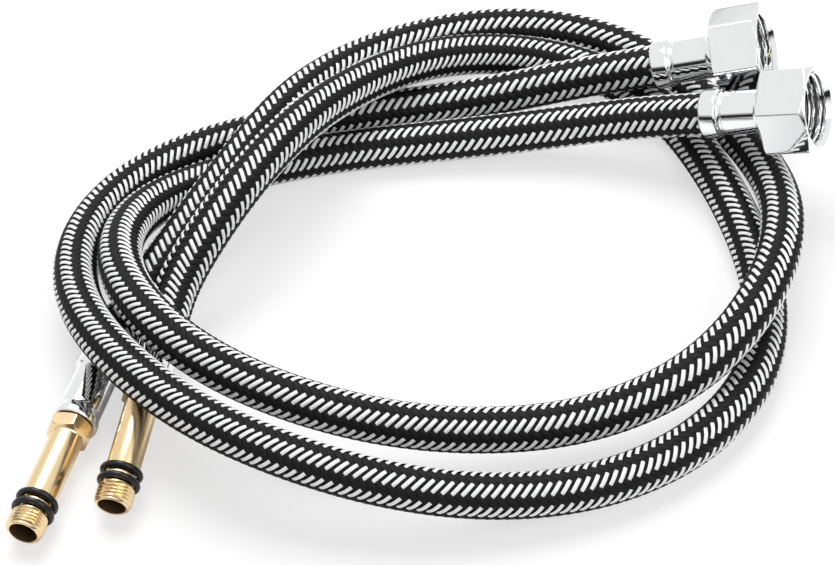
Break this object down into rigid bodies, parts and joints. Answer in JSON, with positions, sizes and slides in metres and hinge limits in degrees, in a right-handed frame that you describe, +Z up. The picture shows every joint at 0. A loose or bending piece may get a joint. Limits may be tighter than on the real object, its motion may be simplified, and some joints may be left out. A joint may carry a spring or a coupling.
{
  "type": "braided supply line",
  "caption": "Pair of flexible braided tap connectors lying in a loose double loop, with a chromed swivel nut at one end and a brass threaded tail with sealing rings at the other.",
  "frame": {"origin": "middle of the pair's footprint on the table, at the height of the table", "axes": "+Z up; +X from the brass tails towards the swivel nuts, along the width of the loop; +Y away from the side that the brass tails point to"},
  "size_m": [0.224, 0.2006, 0.0497],
  "materials": {
    "braid": "woven sleeve of black yarn with bright silver-white strands laid across it in short dashes",
    "hose_rubber": "plain black inner tube, hidden",
    "chrome": "bright polished plating",
    "brass": "bright turned brass",
    "seal_rubber": "smooth black sealing rubber"
  },
  "bodies": {
    "hoses": {"rear_braid": "braid", "rear_liner": "hose_rubber", "rear_nut_ferrule": "chrome", "rear_nut_stem": "brass", "rear_seal_washer": "seal_rubber", "rear_tail_ferrule": "chrome", "rear_tail_stem": "brass", "rear_inner_o_ring": "seal_rubber", "rear_outer_o_ring": "seal_rubber", "front_braid": "braid", "front_liner": "hose_rubber", "front_nut_ferrule": "chrome", "front_nut_stem": "brass", "front_seal_washer": "seal_rubber", "front_tail_ferrule": "chrome", "front_tail_stem": "brass", "front_inner_o_ring": "seal_rubber", "front_outer_o_ring": "seal_rubber"},
    "rear_nut": {"rear_swivel_nut": "chrome"},
    "front_nut": {"front_swivel_nut": "chrome"}
  },
  "joints": [
    {"name": "rear_nut_swivel", "type": "hinge", "parent": "hoses", "child": "rear_nut", "pos_m": [0.08824, 0.05654, 0.03226], "axis": [0.912, -0.183, 0.367], "continuous": true},
    {"name": "front_nut_swivel", "type": "hinge", "parent": "hoses", "child": "front_nut", "pos_m": [0.09959, 0.02877, 0.03462], "axis": [0.8657, -0.3339, 0.3729], "continuous": true}
  ]
}
